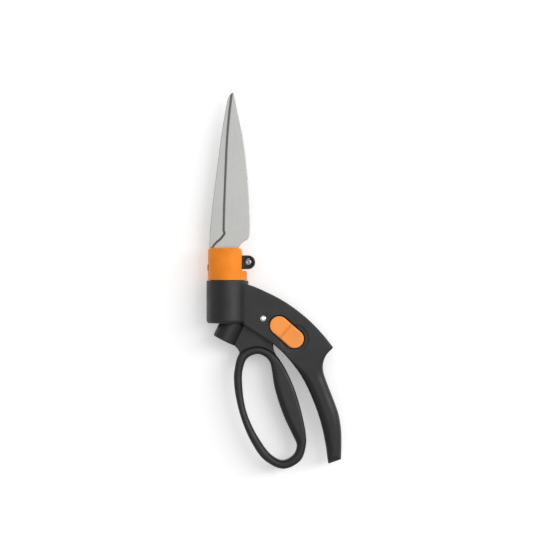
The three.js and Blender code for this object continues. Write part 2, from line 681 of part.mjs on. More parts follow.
function drivePin() {
  return pinAlong([0, 0], DRIVE_PIN_RADIUS, [-DRIVE_PIN_HALF, DRIVE_PIN_HALF]);
}

// ---------------------------------------------------------------- pull rod

/** The rod, with the ball that the lever holds at its lower end. */
function pullRod() {
  const globe = arc(BALL, BALL_RADIUS, -90, 51, 7);
  const top = YOKE.top - 0.4;
  const neck = BALL[1] + 6;
  const shank = [[ROD_RADIUS, neck], [ROD_RADIUS, top - 0.5], [ROD_RADIUS - 0.5, top], [0, top]];
  return turned([...globe, ...shank], 16);
}

/** The fork that reaches up past both faces of the blades and holds the drive pin in two short slots. */
function driveYoke() {
  const { bottom, top, radius, halfWidth, near, far } = YOKE;
  const base = drum(radius, [bottom, top]);
  const armTop = DRIVE_PIN[1] + 4.2;
  const arms = [[-far, -near], [near, far]].map((depths) => {
    return block([-halfWidth, halfWidth], [top - 1, armTop], depths);
  });
  const slotEnds = [-DRIVE_PIN_PLAY, DRIVE_PIN_PLAY].map((x) => [x, DRIVE_PIN[1]]);
  const pinSlot = plate(slotOutline(...slotEnds, DRIVE_PIN_RADIUS + GAP), THROUGH);
  return cut(join(base, ...arms), pinSlot, drum(ROD_RADIUS + GAP, [bottom - 1, top + 1], 24));
}

function rodNut() {
  const [bottom, top] = [YOKE.bottom - 3.4, YOKE.bottom - GAP];
  return cut(drum(4.8, [bottom, top], 6), drum(ROD_RADIUS + GAP, [bottom - 1, top + 1], 24));
}

// ---------------------------------------------------------------- the whole tool

const screws = SCREWS.map(({ at, face }, i) => {
  return piece(`shell_screw_${i + 1}`, shellScrew(face), brightSteel, at);
});

/** Lays pieces drawn about the button's middle along its slide. */
function alongSlide(...pieces) {
  const group = assembly(...pieces);
  group.position.set(buttonMiddle.x, buttonMiddle.y, 0);
  group.rotation.z = buttonReach.angle();
  return group;
}

const handle = assembly(
  piece('front_shell', frontShell(), darkPlastic),
  piece('rear_shell', rearShell(), darkPlastic),
  ...screws,
  piece('pivot_rivet', pivotRivet(), brightSteel, RIVET),
  piece('rivet_washer', rivetWasher(), brightSteel, RIVET),
  alongSlide(piece('detent_spring', detentSpring(), springSteel)),
);

const squeezeLever = assembly(
  piece('lever', lever(), darkPlastic),
  piece('lever_bush', leverBush(), brightSteel, RIVET),
  piece('ball_keeper', ballKeeper(), springSteel),
);

const lock = alongSlide(
  piece('lock_button', lockButton(), orangePlastic),
  piece('lock_slider', lockSlider(), whitePlastic),
);

const bladePair = assembly(
  piece('moving_blade', movingBlade(), bladeSteel),
  piece('drive_pin', drivePin(), brightSteel, DRIVE_PIN),
);

const rod = assembly(
  piece('pull_rod', pullRod(), brightSteel),
  piece('drive_yoke', driveYoke(), springSteel),
  piece('rod_nut', rodNut(), brightSteel),
);

const head = assembly(
  piece('head_collar', headCollar(), orangePlastic),
  piece('head_core', headCore(), blackPlastic),
  piece('blade_pin', bladePin(), brightSteel, PIN),
  piece('pin_clip', pinClip(), springSteel, PIN),
  piece('fixed_blade', fixedBlade(), bladeSteel),
  ...BLADE_RIVETS.map((at, i) => piece(`blade_rivet_${i + 1}`, bladeRivet(), brightSteel, at)),
  piece('head_seal_ring', headSealRing(), blackRubber),
  piece('spring_seat', springSeat(), brightSteel),
  piece('return_spring', returnSpring(), springSteel),
  bladePair,
  rod,
);

const shears = assembly(handle, squeezeLever, lock, head);
const bounds = new THREE.Box3().setFromObject(shears);
const middle = bounds.getCenter(new THREE.Vector3());
shears.position.set(-middle.x, -middle.y, -bounds.min.z);

export default shears;
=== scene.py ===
"""Grass shears with a turning head: the looks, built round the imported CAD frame.

The large mouldings are drawn as distance fields, in the frame of the shears and in millimetres, with
the same outlines and sizes as the CAD part. A field's surface is meshed by surface nets and moved into
the row frame, in metres. X runs across, from the head axis towards the handle wing; Y runs along the head
axis, towards the blade tips; Z points out of the face with the lock button. The origin is on the head
axis, at the top of the barrel, in the plane where the two blades meet.
"""

import json
import math

import bmesh
import bpy
import numpy as np
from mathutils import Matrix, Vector


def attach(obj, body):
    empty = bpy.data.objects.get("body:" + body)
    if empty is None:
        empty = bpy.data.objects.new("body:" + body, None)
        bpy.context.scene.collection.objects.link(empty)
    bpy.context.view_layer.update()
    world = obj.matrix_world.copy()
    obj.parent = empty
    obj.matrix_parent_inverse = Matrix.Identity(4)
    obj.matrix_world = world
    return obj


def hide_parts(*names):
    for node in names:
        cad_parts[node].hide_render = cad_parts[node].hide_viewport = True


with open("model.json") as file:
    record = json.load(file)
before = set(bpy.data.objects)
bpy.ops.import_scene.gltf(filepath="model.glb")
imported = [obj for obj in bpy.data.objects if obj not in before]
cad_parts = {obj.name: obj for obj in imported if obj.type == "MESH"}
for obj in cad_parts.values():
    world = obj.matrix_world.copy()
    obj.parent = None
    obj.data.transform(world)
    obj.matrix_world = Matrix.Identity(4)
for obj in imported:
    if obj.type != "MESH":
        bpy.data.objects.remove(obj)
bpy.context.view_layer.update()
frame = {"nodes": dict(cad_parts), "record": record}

# ---------------------------------------------------------------- where the shears lie in the frame

JOINTS = {joint["name"]: joint for joint in frame["record"]["behaviour"]["joints"]}
MM = 0.001
SHIFT = np.array(JOINTS["head_spin"]["pos_m"])


def metres(points):
    """Points in the frame of the shears, in millimetres, as points of the row frame, in metres."""
    return np.asarray(points, float) * MM + SHIFT


def pivot(name):
    """Where a hinge's axis crosses the plane of the blades, in the frame of the shears."""
    x, y, _ = (np.array(JOINTS[name]["pos_m"]) - SHIFT) / MM
    return x, y


# ---------------------------------------------------------------- driving dimensions, in millimetres

BARREL_RADIUS = 18.9
BARREL_LENGTH = 39.0
BORE_RADIUS = 16.7
WALL = 2.3
WING_HALF = 12.4
RIVET = pivot("lever_pivot")
PIN = pivot("blade_pivot")
LOCK_TRAVEL = JOINTS["lock_slide"]["range_m"][1] / MM
ROD_TRAVEL = JOINTS["rod_slide"]["range_m"][1] / MM

# GAP is the clearance between pieces that fit together, and FAR is further out than any piece reaches.
GAP = 0.3
FAR = 60.0

# Grid steps grow by this when the script only has to be quick.
COARSE = 1.0

# ---------------------------------------------------------------- outlines


def smooth(points, per_span=8, closed=False):
    """A centripetal Catmull-Rom curve through these points."""
    p = np.array(points, float)
    if closed:
        p = np.vstack([p[-1], p, p[:2]])
    else:
        p = np.vstack([2 * p[0] - p[1], p, 2 * p[-1] - p[-2]])
    found = []
    for a, b, c, d in zip(p[:-3], p[1:-2], p[2:-1], p[3:]):
        gaps = [math.sqrt(np.linalg.norm(q - r)) for q, r in ((b, a), (c, b), (d, c))]
        t1 = gaps[0]
        t2 = t1 + gaps[1]
        t3 = t2 + gaps[2]
        for i in range(per_span):
            t = t1 + (t2 - t1) * i / per_span
            ab = (t1 - t) / t1 * a + t / t1 * b
            bc = (t2 - t) / (t2 - t1) * b + (t - t1) / (t2 - t1) * c
            cd = (t3 - t) / (t3 - t2) * c + (t - t2) / (t3 - t2) * d
            abc = (t2 - t) / t2 * ab + t / t2 * bc
            bcd = (t3 - t) / (t3 - t1) * bc + (t - t1) / (t3 - t1) * cd
            found.append((t2 - t) / (t2 - t1) * abc + (t - t1) / (t2 - t1) * bcd)
    if not closed:
        found.append(p[-2])
    return np.array(found)


def arc(centre, radius, start, end, steps=16):
    """Points of an arc, with its angles in degrees."""
    angles = np.radians(np.linspace(start, end, steps + 1))
    return np.stack([centre[0] + radius * np.cos(angles), centre[1] + radius * np.sin(angles)], axis=1)


# ---------------------------------------------------------------- distance fields


class Space:
    """A grid of points to measure distances at. x, y and z broadcast against each other."""

    def __init__(self, low, high, step):
        self.low = np.array(low, float)
        self.step = step
        counts = [int(math.ceil((b - a) / step)) + 1 for a, b in zip(low, high)]
        axes = [a + step * np.arange(n) for a, n in zip(low, counts)]
        self.x = axes[0][:, None, None]
        self.y = axes[1][None, :, None]
        self.z = axes[2][None, None, :]
        self.shape = tuple(counts)


def outline_distance(points, x, y):
    """Signed distance to a closed outline, negative inside."""
    flat_x, flat_y = np.broadcast_arrays(x, y)
    shape = flat_x.shape
    px, py = flat_x.ravel(), flat_y.ravel()
    nearest = np.full(px.shape, 1e9)
    inside = np.zeros(px.shape, bool)
    for (ax, ay), (bx, by) in zip(points, np.roll(points, -1, axis=0)):
        dx, dy = bx - ax, by - ay
        length = dx * dx + dy * dy
        if length < 1e-12:
            continue
        share = np.clip(((px - ax) * dx + (py - ay) * dy) / length, 0, 1)
        away = (px - ax - share * dx) ** 2 + (py - ay - share * dy) ** 2
        np.minimum(nearest, away, out=nearest)
        crosses = (ay > py) != (by > py)
        if ay != by:
            inside ^= crosses & (px < (py - ay) / (by - ay) * dx + ax)
    return (np.sqrt(nearest) * np.where(inside, -1, 1)).reshape(shape)


def slab(flat, z, half, edge):
    """A flat distance, drawn out to a thickness of half on each side, with its rims rounded by edge."""
    across = flat + edge
    up = np.abs(z) - half + edge
    outside = np.hypot(np.maximum(across, 0), np.maximum(up, 0))
    return outside + np.minimum(np.maximum(across, up), 0) - edge


def box(space, low, high, edge=0.0):
    """A box with rounded edges."""
    parts = []
    for points, a, b in zip((space.x, space.y, space.z), low, high):
        parts.append(np.abs(points - (a + b) / 2) - (b - a) / 2 + edge)
    qx, qy, qz = parts
    outside = np.sqrt(np.maximum(qx, 0) ** 2 + np.maximum(qy, 0) ** 2 + np.maximum(qz, 0) ** 2)
    return outside + np.minimum(np.maximum(np.maximum(qx, qy), qz), 0) - edge


def drum(radial, along, radius, low, high, edge=0.0):
    """A round drum, from the distance to its axis and the place along it."""
    qx = radial - radius + edge
    qy = np.abs(along - (low + high) / 2) - (high - low) / 2 + edge
    outside = np.hypot(np.maximum(qx, 0), np.maximum(qy, 0))
    return outside + np.minimum(np.maximum(qx, qy), 0) - edge


def join(*fields):
    """What is in any of the fields."""
    whole = fields[0]
    for field in fields[1:]:
        whole = np.minimum(whole, field)
    return whole


def cut(field, *tools):
    """A field without what is in the tools."""
    for tool in tools:
        field = np.maximum(field, -tool)
    return field


def blend(a, b, reach):
    """A join with a fillet of about this radius."""
    share = np.maximum(reach - np.abs(a - b), 0) / reach
    return np.minimum(a, b) - share * share * reach / 4


def carve(a, b, reach):
    """A cut of b out of a with its edge rounded."""
    return -blend(-a, b, reach)


def fade(low, high, value):
    """Rises smoothly from 0 at low to 1 at high."""
    share = np.clip((value - low) / (high - low), 0, 1)
    return share * share * (3 - 2 * share)


# ---------------------------------------------------------------- fields to meshes

CORNERS = [(i, j, k) for i in (0, 1) for j in (0, 1) for k in (0, 1)]
PROJECTIONS = 3
LONGEST_STEP = 0.4
BEND_REACH = 1.5


def sampled(field, places):
    """The field's value at places given in grid steps."""
    base = np.clip(np.floor(places).astype(int), 0, np.array(field.shape) - 2)
    part = places - base
    total = np.zeros(len(places))
    for corner in CORNERS:
        weight = np.ones(len(places))
        for axis in range(3):
            weight = weight * (part[:, axis] if corner[axis] else 1 - part[:, axis])
        total += weight * field[tuple((base + corner).T)]
    return total


def slope(field, places, reach=0.5):
    """The field's slope at places given in grid steps."""
    found = np.empty_like(places)
    for axis in range(3):
        step = np.zeros(3)
        step[axis] = reach
        found[:, axis] = (sampled(field, places + step) - sampled(field, places - step)) / (2 * reach)
    return found


def surface_net(field):
    """The zero surface of a field as (points in grid steps, quads with their faces out)."""
    solid = field < 0
    nx, ny, nz = field.shape
    total = np.zeros((nx - 1, ny - 1, nz - 1, 3))
    count = np.zeros((nx - 1, ny - 1, nz - 1))
    cells = (slice(0, nx - 1), slice(0, ny - 1), slice(0, nz - 1))
    for axis in range(3):
        others = [other for other in range(3) if other != axis]
        near = [slice(None)] * 3
        far = [slice(None)] * 3
        near[axis] = slice(0, field.shape[axis] - 1)
        far[axis] = slice(1, field.shape[axis])
        a, b = field[tuple(near)], field[tuple(far)]
        crossing = (a < 0) != (b < 0)
        with np.errstate(divide="ignore", invalid="ignore"):
            share = np.where(crossing, a / (a - b), 0)
        for first in (0, 1):
            for second in (0, 1):
                pick = [slice(0, n - 1) for n in field.shape]
                pick[others[0]] = slice(first, field.shape[others[0]] - 1 + first)
                pick[others[1]] = slice(second, field.shape[others[1]] - 1 + second)
                here = crossing[tuple(pick)]
                total[..., axis] += np.where(here, share[tuple(pick)], 0)
                total[..., others[0]] += np.where(here, first, 0)
                total[..., others[1]] += np.where(here, second, 0)
                count += here
    used = count > 0
    number = np.full(used.shape, -1)
    number[used] = np.arange(used.sum())
    places = np.argwhere(used) + total[used] / count[used][:, None]
    quads = []
    for axis in range(3):
        u, v = [(1, 2), (2, 0), (0, 1)][axis]
        near = [slice(1, n - 1) for n in field.shape]
        near[axis] = slice(0, field.shape[axis] - 1)
        far = list(near)
        far[axis] = slice(1, field.shape[axis])
        inside, beyond = solid[tuple(near)], solid[tuple(far)]
        at = np.argwhere(inside != beyond)
        out = inside[tuple(at.T)]
        at[:, u] += 1
        at[:, v] += 1
        ring = []
        for du, dv in ((-1, -1), (0, -1), (0, 0), (-1, 0)):
            cell = at.copy()
            cell[:, u] += du
            cell[:, v] += dv
            ring.append(number[tuple(cell.T)])
        ring = np.stack(ring, axis=1)
        ring[~out] = ring[~out][:, ::-1]
        quads.append(ring)
    return places, np.concatenate(quads)


def onto_surface(field, places, step_size):
    """Moves places, in grid steps, down the field's slope until they lie on its surface."""
    for _ in range(PROJECTIONS):
        steepest = slope(field, places)
        steepness = np.maximum((steepest ** 2).sum(1), 1e-3 * step_size ** 2)
        step = (sampled(field, places) / steepness)[:, None] * steepest
        length = np.maximum(np.linalg.norm(step, axis=1, keepdims=True), 1e-9)
        places = places - step * np.minimum(1, LONGEST_STEP / length)
    return places


def bending(field, places, step_size):
    """How sharply the surface bends: positive on outer edges, and near 0 on flats."""
    bend = np.zeros(len(places))
    for axis in range(3):
        reach = np.zeros(3)
        reach[axis] = BEND_REACH
        beside = sampled(field, places + reach) + sampled(field, places - reach)
        bend += (beside - 2 * sampled(field, places)) / BEND_REACH ** 2
    return bend / step_size ** 2


def linked(name, mesh):
    """A mesh as an object in the scene."""
    piece = bpy.data.objects.new(name, mesh)
    bpy.context.scene.collection.objects.link(piece)
    return piece


def store(mesh, name, values):
    """Keeps one number per vertex for the materials to read."""
    attribute = mesh.attributes.new(name, "FLOAT", "POINT")
    attribute.data.foreach_set("value", values.astype(np.float32))


def meshed(name, space, field, place=metres, ground=None):
    """
    A mesh object of a field's surface, shaded with the field's own slopes. How sharply it bends is stored
    in "bend". ground gives, at each point, the share of painted shade on a ground bevel, and is stored in
    "ground".
    """
    places, quads = surface_net(field)
    places = onto_surface(field, places, space.step)
    steepest = slope(field, places)
    bend = bending(field, places, space.step)
    drawn = space.low + places * space.step
    points = place(drawn)
    tips = place(drawn + steepest / np.linalg.norm(steepest, axis=1, keepdims=True))
    mesh = bpy.data.meshes.new(name)
    mesh.vertices.add(len(points))
    mesh.vertices.foreach_set("co", points.astype(np.float32).ravel())
    mesh.loops.add(quads.size)
    mesh.loops.foreach_set("vertex_index", quads.astype(np.int32).ravel())
    mesh.polygons.add(len(quads))
    mesh.polygons.foreach_set("loop_start", np.arange(0, quads.size, 4, dtype=np.int32))
    mesh.update(calc_edges=True)
    mesh.validate()
    store(mesh, "bend", bend)
    if ground is not None:
        store(mesh, "ground", ground(*drawn.T))
    mesh.shade_smooth()
    normals = (tips - points) / np.linalg.norm(tips - points, axis=1, keepdims=True)
    mesh.normals_split_custom_set_from_vertices([tuple(n) for n in normals])
    return linked(name, mesh)


def lathed(name, profile, centre, steps=64):
    """A round piece about an axis along Z, from a profile of radius and height."""
    points, faces = [], []
    rows = len(profile)
    for i in range(steps):
        angle = 2 * math.pi * i / steps
        for radius, height in profile:
            x = centre[0] + radius * math.cos(angle)
            y = centre[1] + radius * math.sin(angle)
            points.append((x, y, height))
    for i in range(steps):
        for row in range(rows - 1):
            a, b = i * rows + row, (i + 1) % steps * rows + row
            faces.append((a, b, b + 1, a + 1))
    made = bmesh.new()
    corners = [made.verts.new(p) for p in metres(points)]
    for face in faces:
        made.faces.new([corners[k] for k in face])
    bmesh.ops.remove_doubles(made, verts=made.verts, dist=1e-7)
    bmesh.ops.recalc_face_normals(made, faces=made.faces)
    mesh = bpy.data.meshes.new(name)
    made.to_mesh(mesh)
    made.free()
    mesh.shade_smooth()
    mesh.set_sharp_from_angle(angle=math.radians(35))
    return linked(name, mesh)


def finish(piece, body, material, slot, *nodes):
    """Puts a piece on its body, in place of its CAD nodes, with its material."""
    piece.data.materials.append(material)
    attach(piece, body)
    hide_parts(*nodes)


# ---------------------------------------------------------------- materials


class Nodes:
    """Builds a material's node tree."""

    def __init__(self, name):
        self.material = bpy.data.materials.new(name)
        self.material.use_nodes = True
        self.tree = self.material.node_tree
        self.shader = self.tree.nodes["Principled BSDF"]
        self.coordinates = self.tree.nodes.new("ShaderNodeTexCoord").outputs["Object"]

    def link(self, source, target):
        self.tree.links.new(source, target)

    def noise(self, scale, detail=2.0, roughness=0.5, stretch=(1, 1, 1)):
        """Noise in the object's own space, with its features drawn out along one axis by stretch."""
        mapping = self.tree.nodes.new("ShaderNodeMapping")
        mapping.inputs["Scale"].default_value = stretch
        self.link(self.coordinates, mapping.inputs["Vector"])
        noise = self.tree.nodes.new("ShaderNodeTexNoise")
        noise.inputs["Scale"].default_value = scale
        noise.inputs["Detail"].default_value = detail
        noise.inputs["Roughness"].default_value = roughness
        self.link(mapping.outputs["Vector"], noise.inputs["Vector"])
        return noise.outputs["Fac"]

    def spread(self, value, low, high, to_low=0.0, to_high=1.0):
        """A smooth step from to_low, where value is low, up to to_high, where it is high."""
        node = self.tree.nodes.new("ShaderNodeMapRange")
        node.interpolation_type = "SMOOTHSTEP"
        self.link(value, node.inputs["Value"])
        ends = {"From Min": low, "From Max": high, "To Min": to_low, "To Max": to_high}
        for socket, number in ends.items():
            node.inputs[socket].default_value = number
        return node.outputs["Result"]

    def multiply(self, a, b):
        node = self.tree.nodes.new("ShaderNodeMath")
        node.operation = "MULTIPLY"
        self.link(a, node.inputs[0])
        self.link(b, node.inputs[1])
        return node.outputs["Value"]

    def mix(self, share, a, b):
        """A mix of two colours, each a socket or three numbers."""
        node = self.tree.nodes.new("ShaderNodeMix")
        node.data_type = "RGBA"
        self.link(share, node.inputs["Factor"])
        for value, socket in ((a, node.inputs[6]), (b, node.inputs[7])):
            if isinstance(value, tuple):
                socket.default_value = (*value, 1)
            else:
                self.link(value, socket)
        return node.outputs[2]

    def bump(self, height, strength, distance, below=None):
        """A bump of this height, on top of the bump below it."""
        node = self.tree.nodes.new("ShaderNodeBump")
        node.inputs["Strength"].default_value = strength
        node.inputs["Distance"].default_value = distance
        self.link(height, node.inputs["Height"])
        if below is not None:
            self.link(below, node.inputs["Normal"])
        return node.outputs["Normal"]

    def stored(self, name):
        """The number that each vertex keeps under this name."""
        node = self.tree.nodes.new("ShaderNodeAttribute")
        node.attribute_name = name
        return node.outputs["Fac"]


def plastic(name, colour, edge_highlight, roughness, grain=0.35, specular=0.4):
    """Moulded plastic: fine spark-eroded grain, slow tint changes, and a lighter colour painted along convex
    edges as highlight, broken into patches.
    """
    made = Nodes(name)
    slow = made.spread(made.noise(45, 3), 0.3, 0.7)
    darker = tuple(c * 0.86 for c in colour)
    tint = made.mix(slow, darker, colour)
    specks = made.spread(made.noise(2600, 2), 0.62, 0.8, 0, 0.5)
    speck_colour = tuple(c + (w - c) * 0.25 for c, w in zip(colour, edge_highlight))
    tint = made.mix(specks, tint, speck_colour)
    # Painted highlight: the second colour is mixed in where the surface bends outward, in noise patches.
    edges = made.spread(made.stored("bend"), 0.35, 1.3, 0, 0.7)
    patches = made.spread(made.noise(260, 3), 0.35, 0.75)
    tint = made.mix(made.multiply(edges, patches), tint, edge_highlight)
    made.link(tint, made.shader.inputs["Base Color"])
    sheen = made.spread(made.noise(120, 3), 0.3, 0.7, roughness - 0.04, roughness + 0.05)
    made.link(sheen, made.shader.inputs["Roughness"])
    made.shader.inputs["Specular IOR Level"].default_value = specular
    coarse = made.bump(made.noise(900, 2), grain * 0.4, 0.08 * MM)
    fine = made.bump(made.noise(3200, 3, 0.6), grain, 0.05 * MM, coarse)
    made.link(fine, made.shader.inputs["Normal"])
    return made.material


def steel(name, colour, roughness, scratch=(1, 1, 1), depth=0.25, streak=0.12, ground=None):
    """
    Ground or drawn steel. scratch stretches its marks along one axis, depth and streak say how deep and
    how dark they are, and ground is a darker colour painted on a ground bevel as shade.
    """
    made = Nodes(name)
    marks = made.noise(2400, 4, 0.6, scratch)
    slow = made.noise(30, 3)
    darker = tuple(c * (1 - streak * 2) for c in colour)
    tint = made.mix(made.spread(marks, 0.25, 0.75), darker, colour)
    smudge = made.spread(slow, 0.35, 0.75, 0, 0.35)
    tint = made.mix(smudge, tint, tuple(c * 0.96 for c in colour))
    # Painted shade: where the mesh stores "ground", the bevel takes the darker ground colour.
    if ground:
        tint = made.mix(made.stored("ground"), tint, ground)
    made.link(tint, made.shader.inputs["Base Color"])
    made.shader.inputs["Metallic"].default_value = 1.0
    sheen = made.spread(marks, 0.2, 0.8, roughness - 0.07, roughness + 0.08)
    made.link(sheen, made.shader.inputs["Roughness"])
    made.link(made.bump(marks, depth, 0.02 * MM), made.shader.inputs["Normal"])
    return made.material


def rubber(name):
    """Matt black rubber."""
    made = Nodes(name)
    clouds = made.spread(made.noise(400, 3), 0.3, 0.7)
    tint = made.mix(clouds, (0.008, 0.008, 0.008), (0.016, 0.016, 0.016))
    made.link(tint, made.shader.inputs["Base Color"])
    made.link(made.spread(made.noise(300, 2), 0.3, 0.7, 0.72, 0.88), made.shader.inputs["Roughness"])
    made.link(made.bump(made.noise(2500, 3), 0.3, 0.05 * MM), made.shader.inputs["Normal"])
    return made.material


# The second colour of each plastic is its painted edge highlight.
DARK_PLASTIC = plastic("dark_plastic", (0.0125, 0.0125, 0.0128), (0.05, 0.05, 0.05), 0.44)
BLACK_PLASTIC = plastic("black_plastic", (0.006, 0.006, 0.0062), (0.03, 0.03, 0.03), 0.4)
ORANGE_PLASTIC = plastic(
    "orange_plastic", (0.97, 0.275, 0.018), (0.97, 0.45, 0.12), 0.4, grain=0.2, specular=0.12
)
# Painted light: the button's orange is a lighter, yellower copy of the collar's orange plastic, as if more
# brightly lit.
LIT_BUTTON_ORANGE = plastic(
    "button_orange_painted_lit", (0.97, 0.32, 0.06), (0.97, 0.48, 0.16), 0.42, grain=0.2, specular=0.25
)
WHITE_PLASTIC = plastic("white_plastic", (0.6, 0.6, 0.57), (0.7, 0.7, 0.68), 0.4)
# Blade steel: its ground colour is painted shade on the cutting edge's ground bevel.
BLADE_STEEL = steel(
    "blade_steel", (0.42, 0.425, 0.41), 0.36, (1, 0.05, 1), depth=0.2, streak=0.11, ground=(0.19, 0.19, 0.185)
)
BRIGHT_STEEL = steel("bright_steel", (0.9, 0.9, 0.89), 0.22, depth=0.12, streak=0.05)
PIN_STEEL = steel("pin_steel", (0.26, 0.26, 0.255), 0.3, depth=0.15, streak=0.08)
SPRING_STEEL = steel("spring_steel", (0.45, 0.46, 0.47), 0.34, (1, 0.2, 1), depth=0.2)
RUBBER = rubber("black_rubber")
SLOT_MATERIALS = {
    "dark_plastic": DARK_PLASTIC,
    "black_plastic": BLACK_PLASTIC,
    "orange_plastic": ORANGE_PLASTIC,
    "white_plastic": WHITE_PLASTIC,
    "blade_steel": BLADE_STEEL,
    "bright_steel": BRIGHT_STEEL,
    "spring_steel": SPRING_STEEL,
    "black_rubber": RUBBER,
}
for subpart in frame["record"]["subparts"]:
    kept = frame["nodes"][subpart["node"]].data.materials
    kept.clear()
    kept.append(SLOT_MATERIALS[subpart["material_slot"]])

# ---------------------------------------------------------------- handle shells

BARREL_ROUND = 3.6
BARREL_RIM = 0.6
WING_LEFT = 14.4
WING_SKIN = WING_HALF + 0.2
POCKET_HALF = WING_HALF - WALL
SEAM = 0.18
SEAM_INSIDE = 0.02
RIVET_HOLE = 2.5

# The screws' places, and how far out the rear face is there.
SCREWS = [
    ((25.5, -14), WING_HALF), ((61, -34), WING_HALF), ((79, -57), WING_HALF), ((82.5, -99), 10.9),
    ((95.4, -149), 8.7),
]
SCREW_BOSS = 3.6
SCREW_WELL = {"radius": 3.0, "depth": 2.6, "hole": 1.4}

# The rib that holds the head in the barrel by the groove of its journal.
RIB = {"low": -18.1, "high": -16.4, "radius": 14.7}

# The handle's rim is rounder down the grip, and sharper again at its end.
RIM = {"wing": 1.1, "grip": 6.7, "end": 4.1}

# The grip's inside is hollow between these places along it.
GRIP_HOLLOW = {"low": -156, "high": -84}
DISH = {"radius": 12.5, "depth": 0.3}
MOAT = {"middle": 0.3, "half_width": 0.42, "depth": 1.15}
STEM_SLOT = {"along": 3.1, "across": 2.3}
BUTTON_ENDS = np.array([(46.4, -40.1), (60.1, -52.0)])
BUTTON_MIDDLE = BUTTON_ENDS.mean(axis=0)
BUTTON_REACH = float(np.linalg.norm(BUTTON_ENDS[1] - BUTTON_ENDS[0]) / 2)
SLIDE = (BUTTON_ENDS[1] - BUTTON_ENDS[0]) / (2 * BUTTON_REACH)
BUTTON_RADIUS = 8.3
BUTTON_TOP = WING_HALF + 3.2

WING_TOP = [
    (WING_LEFT, -3.7), (18.6, -3.8), (32, -9), (52.6, -19.8), (71.7, -34.2), (85.9, -48.6), (94.7, -59.6),
]
GRIP_OUTER = [
    (94.2, -60.6), (88.8, -66.6), (86, -73.8), (86, -81), (89.4, -91.8), (95, -106.2), (100, -120.6),
    (102.2, -135), (102.5, -149.4), (102.1, -160.6),
]
GRIP_INNER = [
    (90.7, -164.6), (90, -160.5), (88.5, -149.4), (85.7, -135), (81.7, -120.6), (76.3, -106.2),
    (69.7, -91.8), (63.3, -81), (51.7, -66.6), (40.7, -56.3),
]
HANDLE_OUTLINE = np.vstack([
    smooth(WING_TOP),
    smooth(GRIP_OUTER),
    smooth(GRIP_INNER),
    [(WING_LEFT, -39.2)],
])
POCKET_OUTLINE = np.array([
    (8, -6.5), (20, -7.2), (32, -12), (52.6, -23), (70, -36.3), (83, -50.3), (89, -58.6), (84.6, -66),
    (83, -76), (74, -80), (64.5, -78.5), (53.8, -64.9), (45.6, -57.5), (43, -60.5), (8, -41.5),
])

# The handle's half thickness at places along Y.
GRIP_HALF = np.array([
    (-170, 6.6), (-160.5, 7.9), (-149.4, 8.8), (-135, 9.5), (-120.6, 10.2), (-106.2, 10.8),
    (-91.8, 11.4), (-81, 11.9), (-70, 12.3), (-60, WING_SKIN),
])


def along_slide(space):
    """Distances along and across the lock's slide from the button's middle."""
    dx, dy = space.x - BUTTON_MIDDLE[0], space.y - BUTTON_MIDDLE[1]
    return dx * SLIDE[0] + dy * SLIDE[1], dy * SLIDE[0] - dx * SLIDE[1]


def around(space, centre):
    """Distances from an axis along Z."""
    return np.hypot(space.x - centre[0], space.y - centre[1])


def lock_recesses(space, field):
    """The front half with the dish at the end of the button, the moat round it and its stem's slot."""
    dish = drum(around(space, BUTTON_ENDS[1]), space.z, DISH["radius"], WING_SKIN - DISH["depth"], FAR, 0.4)
    field = carve(field, dish, 0.5)
    along, across = along_slide(space)
    beside = np.hypot(np.maximum(np.abs(along) - BUTTON_REACH, 0), across) - BUTTON_RADIUS
    band = np.abs(beside - MOAT["middle"]) - MOAT["half_width"]
    field = cut(field, np.maximum(band, WING_SKIN - MOAT["depth"] - space.z))
    low, high = -STEM_SLOT["along"], STEM_SLOT["along"] + LOCK_TRAVEL
    slot = np.maximum(np.maximum(low - along, along - high), np.abs(across) - STEM_SLOT["across"])
    return cut(field, np.maximum(slot, -space.z))


def screw_wells(space, z, field):
    """The rear half with the screws' counterbores and holes."""
    for place, face in SCREWS:
        off = around(space, place)
        well = drum(off, z, SCREW_WELL["radius"], face - SCREW_WELL["depth"], FAR)
        hole = drum(off, z, SCREW_WELL["hole"], -5, FAR)
        field = cut(carve(field, well, 0.4), hole)
    return field


